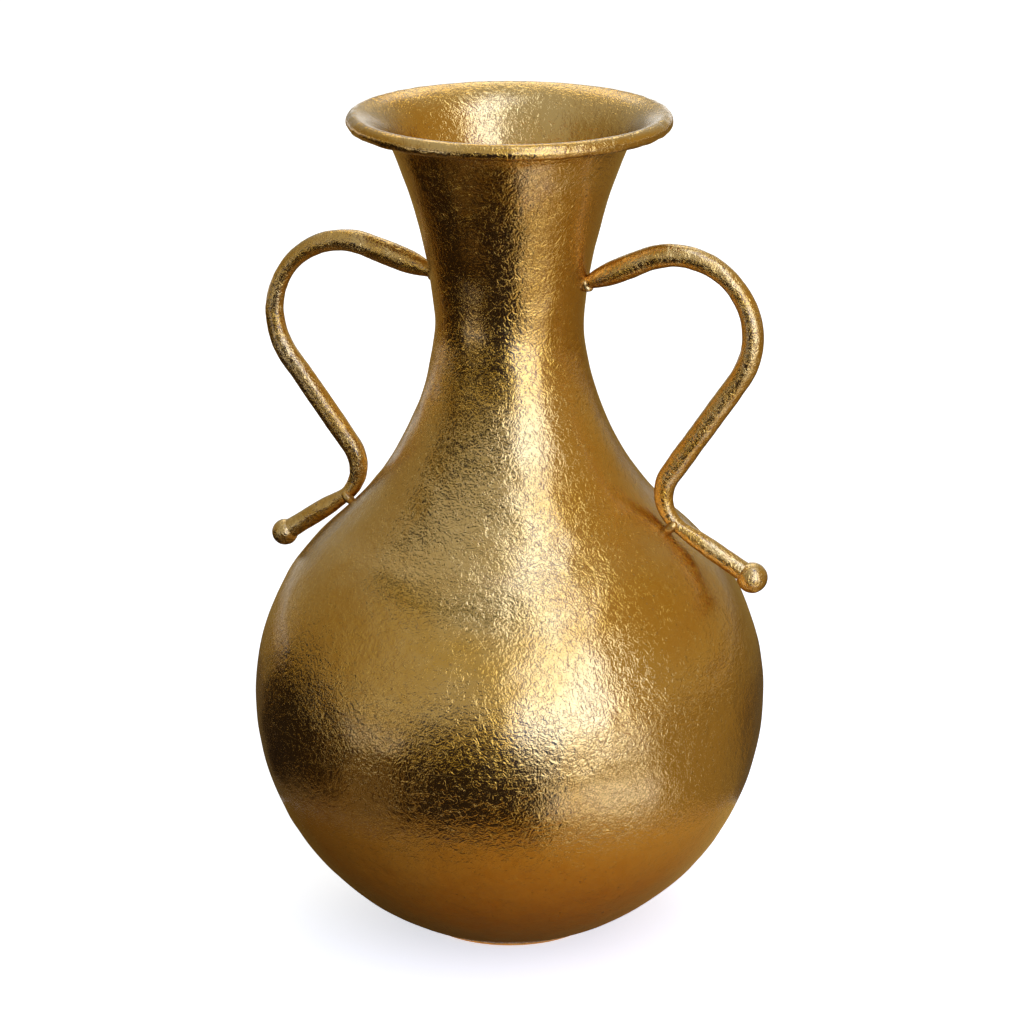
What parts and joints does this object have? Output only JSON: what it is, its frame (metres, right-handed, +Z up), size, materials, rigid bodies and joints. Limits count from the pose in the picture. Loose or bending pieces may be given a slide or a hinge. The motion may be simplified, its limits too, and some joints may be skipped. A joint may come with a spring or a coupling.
{
  "type": "urn vase",
  "caption": "Urn-shaped vase with a round belly, a narrow waist, a flared mouth with a rolled rim, and curled rod handles that end in balls.",
  "frame": {"origin": "centre of the base disc's underside, on the axis of the vase", "axes": "+Z up along the axis of the vase, +X towards the right handle, the handles lie in the XZ plane"},
  "size_m": [0.2524, 0.248, 0.404],
  "materials": {
    "gilt_sheet": "antique gold leaf over spun iron sheet, crinkled and lightly burnished",
    "gilt_rod": "antique gold leaf over forged round rod, with hammer marks",
    "braze": "brass braze under gold leaf",
    "weld": "bare weld metal inside the vessel",
    "wire": "drawn iron wire inside the rolled rim"
  },
  "bodies": {
    "root": {"base_disc": "gilt_sheet", "base_weld": "weld", "bowl": "gilt_sheet", "belly_seam": "weld", "shoulder": "gilt_sheet", "waist_seam": "weld", "neck": "gilt_sheet", "rim_wire": "wire", "left_handle": "gilt_rod", "left_ball": "gilt_rod", "left_neck_braze": "braze", "left_crook_tack": "braze", "right_handle": "gilt_rod", "right_ball": "gilt_rod", "right_neck_braze": "braze", "right_crook_tack": "braze"}
  },
  "joints": []
}
